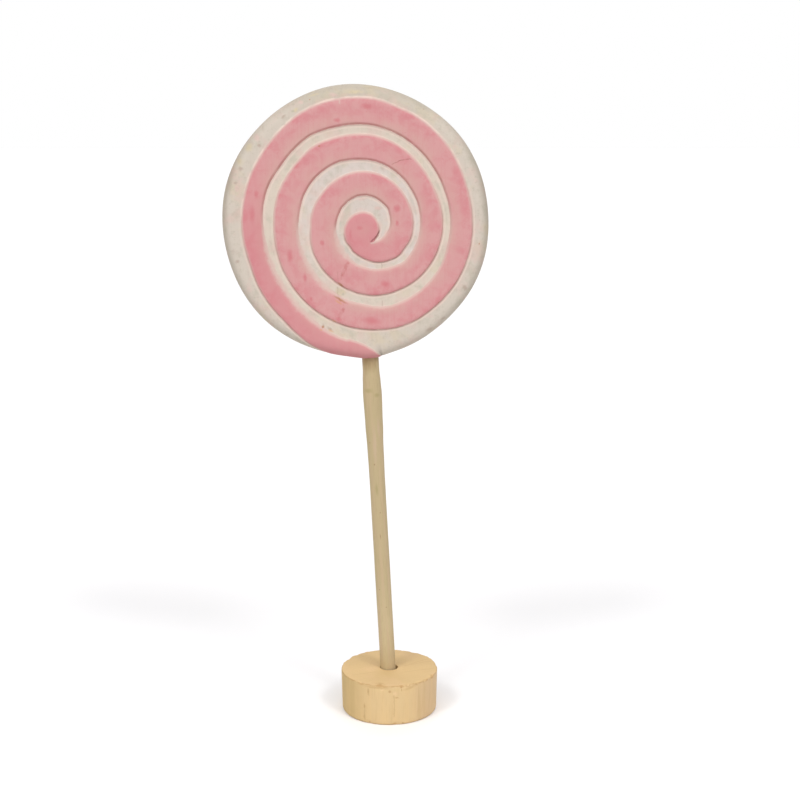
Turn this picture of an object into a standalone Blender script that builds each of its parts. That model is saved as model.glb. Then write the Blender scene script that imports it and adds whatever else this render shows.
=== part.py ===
"""Decorative swirl lollipop: a carved, painted wooden disc on a dowel stick in a round base.

Units are metres and +Z is up. The front of the disc faces -Y, and the origin is the centre
of the base's underside.
"""

from math import cos, pi, radians, sin

import bmesh
import bpy
from mathutils import Matrix, Vector

MM = 0.001

# Base: a turned round block
BASE_DIAMETER = 50 * MM
BASE_HEIGHT = 21.7 * MM
BASE_EDGE = 0.5 * MM
BASE_HOLE_DEPTH = 15 * MM

# Stick: an 8 mm dowel that leans to the left in the base, and swells a little below the disc
STICK_DIAMETER = 8 * MM
STICK_TOP_DIAMETER = 8.4 * MM
STICK_LENGTH = 198 * MM
STICK_LEAN = radians(3.0)
STICK_X_AT_BASE_TOP = -0.7 * MM

# The swelling: distances from the stick's foot and its diameters there, in millimetres
STICK_SWELLING = ((118, 8.0), (132, 8.3), (144, 9.0), (160, 9.6), (167, 9.0), (172, 8.4))

# Disc: a little higher than wide. The band's end stops a hair short of the white rim.
DISC_WIDTH = 130.6 * MM
DISC_HEIGHT = 132.4 * MM
DISC_THICKNESS = 16 * MM
DISC_CENTRE_X = -16.1 * MM
DISC_CENTRE_Z = 251.7 * MM
RIM_ROUNDING = 4.5 * MM
RELIEF = 1.3 * MM
BAND_SETBACK = 0.2 * MM

# Whorl of the swirl: the point that the raised band winds into
WHORL_X = -10.9 * MM
WHORL_Z = 247.8 * MM

# Radii of the raised band's two edges round the whorl, in millimetres. A row is one turn,
# clockwise from six o'clock as seen from the front, with a value each sixth of a turn.
BAND_OUTER = (
    (64.5, 59.0, 62.0, 63.5, 53.5, 50.0),
    (47.5, 44.5, 46.5, 46.5, 38.5, 34.5),
    (30.0, 27.5, 28.0, 29.0, 24.5, 20.0),
    (13.0, 11.0, 10.5, 9.5, 7.0, 5.5),
    (5.5,),
)
BAND_INNER = (
    (54.5, 49.0, 52.0, 51.0, 43.0, 39.5),
    (37.0, 33.0, 35.5, 34.5, 28.5, 23.5),
    (17.5, 15.0, 16.0, 17.5, 13.5, 7.5),
    (5.0,),
)
STEP_BETWEEN_RADII = 60
TURN = 360
POINT_STEP = 6

# The band starts as a point at the rim, just right of the stick: its inner edge bends out to
# the rim there, through these (angle, radius in millimetres) places. The groove inside the
# band ends in a fine tip at the whorl.
BAND_POINT = ((10, 53.2), (5, 54.0), (1, 55.3), (-3, 57.8), (-6, 61.0), (-8, 65.5))
GROOVE_TIP = 1420

FIT_GAP = 0.3 * MM
CUT_MARGIN = 5 * MM
ROUND_STEPS = 96
ARC_STEPS = 5
ROD_STEPS = 48
SHARP = radians(35)
FLAT = radians(0.5)


def clear_scene():
    for old in list(bpy.data.objects):
        bpy.data.objects.remove(old, do_unlink=True)


def make_collection(name):
    collection = bpy.data.collections.new(name)
    bpy.context.scene.collection.children.link(collection)
    return collection


def make_material(name, colour, roughness):
    material = bpy.data.materials.new(name)
    material.use_nodes = True
    shader = material.node_tree.nodes["Principled BSDF"]
    shader.inputs["Base Color"].default_value = (*colour, 1)
    shader.inputs["Roughness"].default_value = roughness
    shader.inputs["Metallic"].default_value = 0
    return material


def add_object(name, data, collection, material=None):
    made = bpy.data.objects.new(name, data)
    collection.objects.link(made)
    if material:
        data.materials.append(material)
    return made


def mark_as_cutter(cutter):
    cutter.hide_render = True
    cutter.display_type = "WIRE"


def shade_smooth(mesh):
    mesh.shade_smooth()
    mesh.set_sharp_from_angle(angle=SHARP)


def boolean(target, other, operation, solver="EXACT"):
    modifier = target.modifiers.new(operation.title(), "BOOLEAN")
    modifier.operation = operation
    modifier.solver = solver
    modifier.object = other


def bake(made):
    """Replaces the object's mesh with the mesh that its modifiers give."""
    bpy.context.view_layer.update()
    evaluated = made.evaluated_get(bpy.context.evaluated_depsgraph_get())
    mesh = bpy.data.meshes.new_from_object(evaluated)
    made.modifiers.clear()
    made.data = mesh


def add_rod(name, radius, length, collection, material=None):
    """A round rod standing on its own origin."""
    mesh = bpy.data.meshes.new(name)
    shape = bmesh.new()
    bmesh.ops.create_cone(
        shape, cap_ends=True, segments=ROD_STEPS, radius1=radius, radius2=radius, depth=length
    )
    bmesh.ops.translate(shape, verts=shape.verts, vec=(0, 0, length / 2))
    shape.to_mesh(mesh)
    shape.free()
    shade_smooth(mesh)
    return add_object(name, mesh, collection, material)


def add_turned_rod(name, widths, collection, material=None):
    """A round rod standing on its own origin, with a diameter at each distance from its foot."""
    mesh = bpy.data.meshes.new(name)
    shape = bmesh.new()
    axis_ends = (0, widths[0][0]), (0, widths[-1][0])
    section = [(width / 2, distance) for distance, width in widths]
    section = [axis_ends[0], *section, axis_ends[1]]
    verts = [shape.verts.new((x, 0, z)) for x, z in section]
    edges = [shape.edges.new(pair) for pair in zip(verts, verts[1:])]
    bmesh.ops.spin(
        shape, geom=verts + edges, cent=(0, 0, 0), axis=(0, 0, 1), angle=2 * pi,
        steps=ROD_STEPS, use_merge=True,
    )
    bmesh.ops.remove_doubles(shape, verts=shape.verts, dist=0.001 * MM)
    bmesh.ops.dissolve_degenerate(shape, dist=0.001 * MM, edges=shape.edges)
    bmesh.ops.recalc_face_normals(shape, faces=shape.faces)
    shape.to_mesh(mesh)
    shape.free()
    shade_smooth(mesh)
    return add_object(name, mesh, collection, material)


def stick_direction():
    return Vector((-sin(STICK_LEAN), 0, cos(STICK_LEAN)))


def stick_foot():
    """The lower end of the stick's axis, down in the base's hole."""
    at_base_top = Vector((STICK_X_AT_BASE_TOP, 0, BASE_HEIGHT))
    return at_base_top - BASE_HOLE_DEPTH * stick_direction()


def lay_along_stick(made, foot):
    made.location = foot
    made.rotation_euler = (0, -STICK_LEAN, 0)


def turned_profile(name, radius, half_thickness, rounding):
    """Half section of a disc about the Z axis, from the top centre down its rounded rim."""
    mesh = bpy.data.meshes.new(name)
    shape = bmesh.new()
    points = [(0, half_thickness)]
    for side, first in ((1, pi / 2), (-1, 0)):
        for step in range(ARC_STEPS + 1):
            angle = first - (pi / 2) * step / ARC_STEPS
            x = radius - rounding + rounding * cos(angle)
            z = side * (half_thickness - rounding) + rounding * sin(angle)
            points.append((x, z))
    points.append((0, -half_thickness))
    verts = [shape.verts.new((x, 0, z)) for x, z in points]
    for upper, lower in zip(verts, verts[1:]):
        shape.edges.new((upper, lower))
    shape.to_mesh(mesh)
    shape.free()
    return mesh


def add_turned_disc(name, radius, half_thickness, rounding, collection, material=None):
    """A disc turned about its axis, stood up to face -Y and stretched a little in height."""
    profile = turned_profile(name, radius, half_thickness, rounding)
    disc = add_object(name, profile, collection)
    screw = disc.modifiers.new("Turn", "SCREW")
    screw.axis = "Z"
    screw.steps = ROUND_STEPS
    screw.render_steps = ROUND_STEPS
    screw.use_merge_vertices = True
    screw.merge_threshold = 0.00001
    bake(disc)
    shape = bmesh.new()
    shape.from_mesh(disc.data)
    bmesh.ops.dissolve_limit(shape, angle_limit=FLAT, verts=shape.verts, edges=shape.edges)
    shape.to_mesh(disc.data)
    shape.free()
    stand = Matrix.Rotation(radians(90), 4, "X")
    stretch = Matrix.Diagonal((1, 1, DISC_HEIGHT / DISC_WIDTH, 1))
    place = Matrix.Translation((DISC_CENTRE_X, 0, DISC_CENTRE_Z))
    disc.data.transform(place @ stretch @ stand)
    if material:
        disc.data.materials.append(material)
    return disc


def smooth_radius(rows, angle):
    """The edge's radius at an angle in degrees, on a smooth curve through the measured radii."""
    radii = [radius for row in rows for radius in row]
    place = angle / STEP_BETWEEN_RADII
    first = max(0, min(int(place), len(radii) - 2))
    part = place - first
    before = radii[max(first - 1, 0)]
    start, end = radii[first], radii[first + 1]
    after = radii[min(first + 2, len(radii) - 1)]
    bend = 2 * before - 5 * start + 4 * end - after
    twist = 3 * start - before - 3 * end + after
    return 0.5 * (2 * start + (end - before) * part + bend * part**2 + twist * part**3) * MM


def whorl_point(radius, angle):
    """A point at this radius and this many degrees clockwise of six o'clock, as (x, z)."""
    turn = radians(angle)
    return WHORL_X - radius * sin(turn), WHORL_Z - radius * cos(turn)


def band_outline():
    """The raised band from its pointed end past the rim to the whorl and back, as (x, z)."""
    outer = [(smooth_radius(BAND_OUTER, angle), angle) for angle in range(0, GROOVE_TIP, POINT_STEP)]
    tip = [(smooth_radius(BAND_OUTER, GROOVE_TIP), GROOVE_TIP)]
    last = GROOVE_TIP - TURN - POINT_STEP
    first = BAND_POINT[0][0] + POINT_STEP
    inner = [(smooth_radius(BAND_INNER, angle), angle) for angle in range(last, first, -POINT_STEP)]
    point = [(radius * MM, angle) for angle, radius in BAND_POINT]
    return [whorl_point(radius, angle) for radius, angle in outer + tip + inner + point]


def make_band_prism(collection):
    """The raised band as a thick plate that passes right through the disc."""
    curve = bpy.data.curves.new("band_outline", "CURVE")
    curve.dimensions = "2D"
    curve.fill_mode = "BOTH"
    curve.extrude = DISC_THICKNESS / 2 + CUT_MARGIN
    outline = band_outline()
    spline = curve.splines.new("POLY")
    spline.points.add(len(outline) - 1)
    for point, (x, z) in zip(spline.points, outline):
        point.co = (x, z, 0, 1)
    spline.use_cyclic_u = True
    guide = add_object("band_guide", curve, collection)
    bpy.context.view_layer.update()
    evaluated = guide.evaluated_get(bpy.context.evaluated_depsgraph_get())
    mesh = bpy.data.meshes.new_from_object(evaluated)
    bpy.data.objects.remove(guide)
    shape = bmesh.new()
    shape.from_mesh(mesh)
    bmesh.ops.remove_doubles(shape, verts=shape.verts, dist=0.00001)
    bmesh.ops.recalc_face_normals(shape, faces=shape.faces)
    shape.to_mesh(mesh)
    shape.free()
    mesh.transform(Matrix.Rotation(radians(90), 4, "X"))
    band = add_object("band_prism", mesh, collection)
    mark_as_cutter(band)
    return band


def make_swirl_disc(parts, cutters):
    """A white disc with the pink band standing proud of both faces, and a socket below."""
    radius = DISC_WIDTH / 2
    white = make_material("painted_wood", (0.80, 0.62, 0.55), 0.6)
    disc = add_turned_disc(
        "swirl_disc", radius, DISC_THICKNESS / 2 - RELIEF, RIM_ROUNDING, parts, white
    )
    envelope = add_turned_disc(
        "band_envelope", radius - BAND_SETBACK, DISC_THICKNESS / 2, RIM_ROUNDING, cutters
    )
    mark_as_cutter(envelope)
    band = make_band_prism(cutters)
    boolean(band, envelope, "INTERSECT")
    bake(band)
    boolean(disc, band, "UNION", solver="MANIFOLD")

    socket = add_rod("disc_socket", STICK_TOP_DIAMETER / 2 + FIT_GAP, STICK_LENGTH, cutters)
    mark_as_cutter(socket)
    lay_along_stick(socket, stick_foot() + FIT_GAP * stick_direction())
    boolean(disc, socket, "DIFFERENCE")
    bake(disc)
    disc.data.materials.clear()
    disc.data.materials.append(white)
    shade_smooth(disc.data)


def make_stick(parts):
    wood = make_material("dowel_wood", (0.60, 0.49, 0.30), 0.6)
    widths = [(0, STICK_DIAMETER)]
    widths += [(distance * MM, width * MM) for distance, width in STICK_SWELLING]
    widths.append((STICK_LENGTH, STICK_TOP_DIAMETER))
    stick = add_turned_rod("stick", widths, parts, wood)
    lay_along_stick(stick, stick_foot())


def make_base(parts, cutters):
    wood = make_material("base_wood", (0.72, 0.50, 0.27), 0.6)
    base = add_rod("base", BASE_DIAMETER / 2, BASE_HEIGHT, parts, wood)
    edges = base.modifiers.new("Edges", "BEVEL")
    edges.width = BASE_EDGE
    edges.segments = 2
    edges.limit_method = "ANGLE"
    edges.angle_limit = radians(60)
    hole = add_rod("base_hole", STICK_DIAMETER / 2 + FIT_GAP, STICK_LENGTH, cutters)
    mark_as_cutter(hole)
    lay_along_stick(hole, stick_foot() - FIT_GAP * stick_direction())
    boolean(base, hole, "DIFFERENCE")


def main():
    clear_scene()
    parts = make_collection("swirl_lollipop")
    cutters = make_collection("cutters")
    make_swirl_disc(parts, cutters)
    make_stick(parts)
    make_base(parts, cutters)


main()
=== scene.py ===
from math import acos, cos, exp, hypot, pi, radians, sin, sqrt

import bmesh
import bpy
from mathutils import Matrix, Vector, noise


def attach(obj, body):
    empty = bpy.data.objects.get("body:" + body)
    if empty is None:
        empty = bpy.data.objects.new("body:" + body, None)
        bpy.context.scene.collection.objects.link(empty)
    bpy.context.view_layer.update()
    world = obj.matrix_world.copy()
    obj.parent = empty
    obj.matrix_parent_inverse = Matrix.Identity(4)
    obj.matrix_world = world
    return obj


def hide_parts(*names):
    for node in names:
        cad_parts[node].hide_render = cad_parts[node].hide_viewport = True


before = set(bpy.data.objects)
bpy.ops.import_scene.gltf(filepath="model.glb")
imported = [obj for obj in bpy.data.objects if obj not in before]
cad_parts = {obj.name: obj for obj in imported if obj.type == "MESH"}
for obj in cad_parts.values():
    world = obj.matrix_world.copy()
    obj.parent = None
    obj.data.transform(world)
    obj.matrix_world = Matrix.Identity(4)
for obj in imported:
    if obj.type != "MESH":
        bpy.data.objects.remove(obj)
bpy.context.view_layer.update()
print("Stage 1: frame loaded,", len(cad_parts), "nodes")

mm = 0.001


# Small helpers for numbers

def smoothStep(low, high, value):
    part = min(max((value - low) / (high - low), 0.0), 1.0)
    return part * part * (3 - 2 * part)


def blend(start, end, part):
    return start + (end - start) * part


def waver(x, y, z, scale, seed):
    # soft hand-made unevenness from -1 to 1, with lumps about this many millimetres across
    return noise.noise(Vector((x / scale + seed * 7.3, y / scale - seed * 3.1, z / scale + seed * 5.7)))


def shade(red, green, blue):
    # a colour as it looks on a screen, made linear for the shader
    return tuple((level / 255) ** 2.2 for level in (red, green, blue)) + (1.0,)


# Small helpers for objects and meshes

def addObject(name, data):
    thing = bpy.data.objects.new(name, data)
    bpy.context.scene.collection.objects.link(thing)
    return thing


def spinRound(shape, geometry, sides):
    # turns a half section round the upright axis
    bmesh.ops.spin(shape, geom=geometry, cent=(0, 0, 0), axis=(0, 0, 1), angle=2 * pi, steps=sides,
                   use_merge=True)
    bmesh.ops.remove_doubles(shape, verts=shape.verts, dist=0.002 * mm)


def finishPiece(name, shape, material, smooth=True):
    mesh = bpy.data.meshes.new(name)
    shape.to_mesh(mesh)
    shape.free()
    mesh.materials.append(material)
    if smooth:
        mesh.shade_smooth()
    return addObject(name, mesh)


# Small helpers for materials

def startMaterial(name, roughness, specular):
    material = bpy.data.materials.new(name)
    material.use_nodes = True
    shader = material.node_tree.nodes["Principled BSDF"]
    shader.inputs["Roughness"].default_value = roughness
    shader.inputs["Specular IOR Level"].default_value = specular
    return material, material.node_tree, shader


def addNode(tree, kind, inputs=None, **settings):
    node = tree.nodes.new("ShaderNode" + kind)
    for setting, value in settings.items():
        setattr(node, setting, value)
    for socket, value in (inputs or {}).items():
        feed(tree, node.inputs[socket], value)
    return node


def feed(tree, socket, value):
    if isinstance(value, bpy.types.NodeSocket):
        tree.links.new(value, socket)
    else:
        socket.default_value = value


def calculate(tree, operation, first, second=0.0, third=0.0, clamp=False):
    node = addNode(tree, "Math", {0: first, 1: second, 2: third}, operation=operation, use_clamp=clamp)
    return node.outputs[0]


def times(tree, first, *others):
    for other in others:
        first = calculate(tree, "MULTIPLY", first, other)
    return first


def linearOf(tree, value, factor, added):
    return calculate(tree, "MULTIPLY_ADD", value, factor, added)


def rangeOf(tree, value, low, high, start=0.0, end=1.0):
    # a smooth ramp from start, where the value is low, to end, where it is high
    ends = {1: low, 2: high, 3: start, 4: end}
    node = addNode(tree, "MapRange", {0: value, **ends}, interpolation_type="SMOOTHSTEP")
    return node.outputs[0]


def mixColour(tree, factor, first, second, blendType="MIX"):
    node = addNode(tree, "Mix", {0: factor, 6: first, 7: second}, data_type="RGBA", blend_type=blendType)
    return node.outputs[2]


def tint(tree, colour, amount, strength, tone):
    # lays a tone over a colour, this strongly where the amount is 1
    return mixColour(tree, times(tree, amount, strength), colour, tone)


def placed(tree, coords, location=(0, 0, 0), rotation=(0, 0, 0), scale=(1, 1, 1)):
    moves = {"Location": location, "Rotation": rotation, "Scale": scale}
    return addNode(tree, "Mapping", {"Vector": coords, **moves}).outputs[0]


def cloud(tree, coords, scale, detail=2.0, roughness=0.5, distortion=0.0):
    # soft noise, with its scale given as lumps to the metre
    settings = {"Scale": scale, "Detail": detail, "Roughness": roughness, "Distortion": distortion}
    return addNode(tree, "TexNoise", {"Vector": coords, **settings}).outputs[0]


def combined(tree, operation, first, second):
    return addNode(tree, "VectorMath", {0: first, 1: second}, operation=operation).outputs[0]


def separated(tree, vector):
    return addNode(tree, "SeparateXYZ", {0: vector}).outputs


def shaken(tree, coords, scale, reach, roughness=0.5):
    # coordinates moved about by fine noise, so that marks get a ragged outline
    settings = {"Scale": scale, "Detail": 3.0, "Roughness": roughness}
    fine = addNode(tree, "TexNoise", {"Vector": coords, **settings}).outputs["Color"]
    centred = combined(tree, "SUBTRACT", fine, (0.5, 0.5, 0.5))
    shift = addNode(tree, "VectorMath", {0: centred, "Scale": reach * mm}, operation="SCALE")
    return combined(tree, "ADD", coords, shift.outputs[0])


def finishSurface(tree, shader, relief, depth, pattern, roughness):
    # fine relief, this many millimetres deep, and a roughness that varies with a pattern
    bump = addNode(tree, "Bump", {"Strength": 0.35, "Distance": depth * mm, "Height": relief})
    feed(tree, shader.inputs["Normal"], bump.outputs[0])
    feed(tree, shader.inputs["Roughness"], rangeOf(tree, pattern, 0.3, 0.7, *roughness))


markReach = 6.25    # how deep a mark's colour reaches into its piece, in millimetres


def spots(tree, coords, places, soft=1.0, front=-8):
    # soft ovals on the front, 1 in their middles
    # each is (x, z, width, height, turn), in millimetres and degrees clockwise
    total = 0.0
    for x, z, width, height, turn in places:
        moved = combined(tree, "SUBTRACT", coords, (x * mm, front * mm, z * mm))
        turned = placed(tree, moved, rotation=(0, radians(-turn), 0))
        halves = (width / 2, markReach, height / 2)
        scaled = combined(tree, "MULTIPLY", turned, tuple(1 / (half * mm) for half in halves))
        length = addNode(tree, "VectorMath", {0: scaled}, operation="LENGTH").outputs["Value"]
        total = calculate(tree, "MAXIMUM", total, rangeOf(tree, length, 1.0, 1.0 - soft))
    return total


def cracks(tree, coords, places, width, front=-8):
    # fine lines on the front, this wide to each side of their middle
    # each is (x, z, length, turn, bow), in millimetres and degrees clockwise
    total = 0.0
    for x, z, length, turn, bow in places:
        moved = combined(tree, "SUBTRACT", coords, (x * mm, front * mm, z * mm))
        turned = placed(tree, moved, rotation=(0, radians(-turn), 0), scale=(1 / mm, 1 / mm, 1 / mm))
        along, outwards, across = separated(tree, turned)
        squared = calculate(tree, "POWER", along, 2.0)
        curve = linearOf(tree, squared, -4 * bow / length**2, bow)
        offset = calculate(tree, "ABSOLUTE", calculate(tree, "SUBTRACT", across, curve))
        line = rangeOf(tree, offset, width, width * 0.2)
        ends = rangeOf(tree, calculate(tree, "ABSOLUTE", along), length / 2, length / 2 - 1)
        near = rangeOf(tree, calculate(tree, "ABSOLUTE", outwards), 6.0, 4.0)
        total = calculate(tree, "MAXIMUM", total, times(tree, line, ends, near))
    return total


# Disc: the carved swirl

disc = {
    "width": 130.6,
    "height": 132.4,
    "thickness": 16.0,
    "centre": (-16.1, 251.7),
    "rimRounding": 5.4,
    "flats": (0.26, -0.30, 0.08),  # six slight flats in the rim: depth, shift and unevenness
    "stickPoint": (1.1, 7.0),      # the slight point at the stick: how far down, over how many degrees
    "whorl": (-10.9, 247.8),       # where the band winds in
    "whiteDepth": 1.1,             # how far the white lies below the pink
    "knifeDepth": 1.25,            # the knife's cut along the pink edge
    "knifeReach": 1.6,
    "crispEdge": (0.24, 0.34, 1.2),    # half the wall's width, the edge's drop and its rounding
    "softEdge": (0.40, 0.50, 2.0),     # the same where the edge faces up
    "fadeIn": (10.0, 45.0),        # degrees in each turn over which the inner cut fades out
    "fadeOut": (115.0, 75.0),      # and over which it comes back, the last degree first
    "fadeAcross": (3.2, -1.8),     # from where to where its gentle slope runs, across the pink's edge
    "crown": (0.30, 11.0),         # how much lower the face lies at the rim, and over what width it falls
    "skin": 0.14,                  # how far the whole face lies below the block's flat face
    "smoothSide": 8.0,             # the length over which that and the lumps set in from the rim's side
    "rowStep": 1.5,                # degrees between the carving's rows
    "whiteColumns": 24,
    "pinkColumns": 20,
    "crowding": 1.8,               # how much columns crowd towards the pink's edges
    "start": -9.0,                 # degrees clockwise from six o'clock, on from turn to turn
    "calmFrom": 1020.0,            # from here the inner edge wavers less, till the whorl starts
    "shallowFrom": 1200.0,         # from here the groove gets shallow as it narrows
    "closingFrom": 1380.0,         # from here its two edges close on each other
    "grooveTip": 1419.0,
}
whiteStart = disc["start"] + 360       # one turn in, the white lies between two turns of the pink
whorlStart = disc["grooveTip"] - 360   # past here the pink has no inner edge

# lumps in both faces and more in the white: height, width and seed
faceLumps = ((0.09, 15, 1), (0.05, 5, 2), (0.02, 1.6, 4))
whiteLumps = (0.10, 8, 6)
faceApart = 40      # keeps the noise of the two faces apart

# small dents in the front: x, z, width, height and depth
discDents = (
    (-24.2, 215.0, 2.4, 1.2, 0.15), (-32.2, 201.4, 1.2, 1.2, 0.20), (-23.4, 222.2, 1.8, 0.9, 0.10),
    (-23.0, 310.4, 1.0, 1.8, 0.30), (-71.0, 277.9, 2.2, 2.0, 0.12), (26.6, 205.2, 2.4, 1.4, 0.15),
    (8.0, 306.0, 7.0, 1.0, 0.12), (-18.0, 309.6, 6.0, 0.9, 0.14), (0.6, 279.6, 1.2, 1.0, 0.25),
)

# radii of the band's edges round the whorl, a value each 60 degrees
# a row is a turn, clockwise from six o'clock
bandOuter = (
    (64.5, 59.0, 62.0, 63.5, 53.5, 50.0),
    (47.5, 44.5, 46.5, 46.5, 38.5, 34.5),
    (30.0, 27.5, 28.0, 29.0, 24.5, 20.0),
    (13.0, 11.0, 10.5, 9.5, 7.0, 5.5),
    (5.5,),
)
bandInner = (
    (54.5, 49.0, 52.0, 51.0, 43.0, 39.5),
    (37.0, 33.0, 35.5, 34.5, 28.5, 23.5),
    (17.5, 15.0, 16.0, 17.5, 13.5, 7.5),
    (5.0,),
)

# where the knife slipped outwards or inwards: angle, how far out and over how many degrees
outerSlips = (
    (41, -0.95, 12), (75, -0.6, 8), (155, 0.85, 18), (195, -0.5, 6), (228, 0.95, 18), (337, 0.65, 14),
    (450, -0.7, 18), (508, 0.8, 10), (622, 0.6, 22), (715, 0.5, 22), (813, -0.5, 10), (1012, -0.5, 10),
    (1065, 0.45, 18), (1127, -0.75, 15),
)
innerSlips = (
    (30, -0.5, 10), (90, -0.6, 10), (127, -0.5, 9), (150, 0.7, 8), (278, -0.4, 12), (367, -1.6, 14),
    (388, -0.7, 10), (464, -1.55, 22), (517, 0.4, 10), (667, 0.6, 10), (765, 0.5, 7), (825, -0.65, 25),
    (945, 0.4, 8),
)
# the knife's unsteadiness all along: how far, over what part of a turn, and what is added to the seed
handLumps = ((0.12, 0.22, 0), (0.06, 0.05, 3))

# the band's pointed end at the rim: angle and radius
bandPoint = ((10, 53.2), (5, 54.0), (1, 55.3), (-3, 57.8), (-6, 61.0), (-8, 65.5), (-12, 75.0))


def edgeRadius(rows, angle):
    # a smooth curve through the radii
    radii = [radius for row in rows for radius in row]
    place = angle / 60
    first = max(0, min(int(place), len(radii) - 2))
    part = place - first
    before = radii[max(first - 1, 0)]
    start, end = radii[first], radii[first + 1]
    after = radii[min(first + 2, len(radii) - 1)]
    bend = 2 * before - 5 * start + 4 * end - after
    twist = 3 * start - before - 3 * end + after
    return 0.5 * (2 * start + (end - before) * part + bend * part**2 + twist * part**3)


def handWaver(angle, slips, seed):
    # the knife's wander along an edge, in millimetres
    turn = angle / 57.3     # near enough in radians
    wander = sum(far * waver(turn, 0, 0, length, seed + more) for far, length, more in handLumps)
    return wander + sum(outwards * exp(-((angle - place) / reach) ** 2) for place, outwards, reach in slips)


def outerEdge(angle, side):
    radius = edgeRadius(bandOuter, angle)
    if angle > disc["closingFrom"]:
        closing = smoothStep(disc["closingFrom"], disc["grooveTip"], angle)
        return blend(radius, innerEdge(angle - 360, side), closing)
    return radius + handWaver(angle, outerSlips, 11 + side)


def innerEdge(angle, side):
    if angle < bandPoint[0][0]:
        for (high, highRadius), (low, lowRadius) in zip(bandPoint, bandPoint[1:]):
            if angle >= low:
                return blend(lowRadius, highRadius, (angle - low) / (high - low))
        return bandPoint[-1][1]
    settle = smoothStep(bandPoint[0][0], 40, angle)
    wander = handWaver(angle, innerSlips, 21 + side)
    return edgeRadius(bandInner, angle) + settle * wander * smoothStep(whorlStart, disc["calmFrom"], angle)


def rimRadius(angle):
    # from the whorl out to the rim, along a ray
    turn = radians(angle)
    wide, high = disc["width"] / 2, disc["height"] / 2
    startX = (disc["whorl"][0] - disc["centre"][0]) / wide
    startZ = (disc["whorl"][1] - disc["centre"][1]) / high
    stepX, stepZ = -sin(turn) / wide, -cos(turn) / high
    a = stepX**2 + stepZ**2
    b = startX * stepX + startZ * stepZ
    c = startX**2 + startZ**2 - 1
    reach = (-b + sqrt(b * b - a * c)) / a
    around = (angle + 180) % 360 - 180
    depth, shift, uneven = disc["flats"]
    flats = depth * cos(6 * radians(angle - 50)) + shift + uneven * waver(sin(turn), cos(turn), 0, 0.25, 5)
    point, span = disc["stickPoint"]
    atStick = point * exp(-((around + 2) / span) ** 2)
    return reach + min(flats, 0.0) + atStick


def arcOf(inset):
    # length over the surface from the middle of the rim's side to a place this far in from the rim
    flat = disc["thickness"] / 2 - disc["rimRounding"]
    if inset < 0:
        return flat + 2 * inset
    if inset < disc["rimRounding"]:
        return flat + disc["rimRounding"] * acos(1 - inset / disc["rimRounding"])
    return flat + disc["rimRounding"] * (pi / 2 - 1) + inset


def sectionAt(arc):
    # (inset from the rim, height above the disc's middle) at that length over the surface
    rounding = disc["rimRounding"]
    flat = disc["thickness"] / 2 - rounding
    if arc < flat:
        return 0.0, arc
    bent = (arc - flat) / rounding
    if bent < pi / 2:
        return rounding * (1 - cos(bent)), flat + rounding * sin(bent)
    return arc - flat - rounding * (pi / 2 - 1), disc["thickness"] / 2


def softness(angle, outwards):
    # 0 where the pink's edge faces down and its cut is crisp, 1 where it faces up and is soft,
    # and up to 2 where the inner cut fades out
    turn = radians(angle)
    facing = 0.25 * sin(turn) - 0.97 * cos(turn)
    soft = smoothStep(-0.85, 0.65, facing if outwards else -facing)
    around = angle % 360
    if outwards:
        return soft
    return soft + smoothStep(*disc["fadeIn"], around) * smoothStep(*disc["fadeOut"], around)


def edgeDepth(distance, soft):
    # depth below the pink plateau, by distance from the pink's edge: positive on the pink
    fade = max(soft - 1, 0.0)
    soft = min(soft, 1.0)
    kinds = zip(disc["crispEdge"], disc["softEdge"])
    wall, drop, rounding = (blend(crisp, gentle, soft) for crisp, gentle in kinds)
    level, cut = disc["whiteDepth"], disc["knifeDepth"] - 0.25 * soft
    if distance > wall:
        depth = drop * max(0.0, 1 - (distance - wall) / rounding) ** 2
    elif distance > -wall:
        part = (distance + wall) / (2 * wall)
        depth = blend(cut, drop, blend(smoothStep(0, 1, part), part, soft))
    else:
        depth = level + (cut - level) * max(0.0, 1 + (distance + wall) / disc["knifeReach"]) ** 2
    return blend(depth, level * smoothStep(*disc["fadeAcross"], distance), 0.9 * fade)


def spread(part, towardsEnd=1.0):
    # columns crowd towards the pink's edges, at the start and, where there is one, at the end
    power = disc["crowding"]
    if part < 0.5:
        return 0.5 * (2 * part) ** power
    far = 1 - 0.5 * (2 - 2 * part) ** power
    return blend(part, far, towardsEnd)


def grooveFullness(angle, side):
    # the groove gets shallow as it narrows to its tip
    if angle < disc["shallowFrom"]:
        return 1.0
    width = innerEdge(angle - 360, side) - outerEdge(angle, side)
    return smoothStep(0.0, 2.6, width)


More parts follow.
